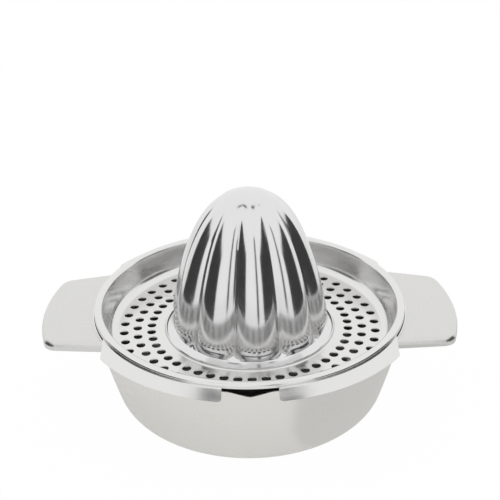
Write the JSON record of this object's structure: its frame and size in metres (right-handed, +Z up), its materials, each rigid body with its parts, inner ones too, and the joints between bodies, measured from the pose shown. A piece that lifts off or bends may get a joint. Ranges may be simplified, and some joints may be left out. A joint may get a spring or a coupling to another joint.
{
  "type": "hand citrus juicer",
  "caption": "Two-part sheet-steel citrus juicer: a fluted reamer dome on a perforated strainer dish that lifts off a round bowl with a pouring lip and two flat side handles.",
  "frame": {"origin": "on the table under the middle of the bowl", "axes": "+Z up, X from handle to handle, the pouring lip faces -Y"},
  "size_m": [0.2356, 0.19, 0.1266],
  "materials": {
    "bowl_steel": "satin",
    "handle_steel": "satin",
    "strainer_steel": "bright satin",
    "reamer_steel": "mirror polished"
  },
  "bodies": {
    "bowl": {"bowl": "bowl_steel", "handle_left": "handle_steel", "handle_right": "handle_steel"},
    "strainer": {"strainer": "strainer_steel", "reamer": "reamer_steel"}
  },
  "joints": [
    {"name": "strainer_lift", "type": "slide", "parent": "bowl", "child": "strainer", "axis": [0, 0, 1], "range_m": [0, 0.06]}
  ]
}
